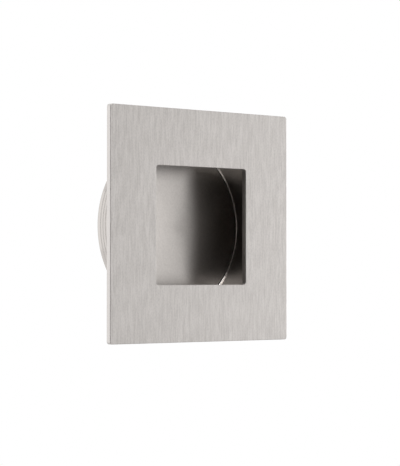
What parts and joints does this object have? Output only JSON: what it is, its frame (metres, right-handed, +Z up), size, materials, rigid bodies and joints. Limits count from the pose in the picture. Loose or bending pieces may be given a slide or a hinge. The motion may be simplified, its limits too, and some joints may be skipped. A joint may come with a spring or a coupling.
{
  "type": "recessed pull handle",
  "caption": "Square flush pull for a sliding door: a flat brushed steel face plate with a square opening in front of a wider, round, flat-bottomed finger cup.",
  "frame": {"origin": "on the cup's axis, in the plane of the face plate's back, which lies on the door's face", "axes": "+Y along the cup's axis into the door, +Z up, +X to the right for someone facing the handle"},
  "size_m": [0.065, 0.0147, 0.065],
  "materials": {
    "brushed_steel_sheet": "satin, brushed vertically on the front face",
    "turned_steel": "satin floor inside, fine-turned outside",
    "weld_metal": "weld dressed flush, with a faint heat tint"
  },
  "bodies": {
    "root": {"face_plate": "brushed_steel_sheet", "recess_cup": "turned_steel", "weld_seam": "weld_metal"}
  },
  "joints": []
}
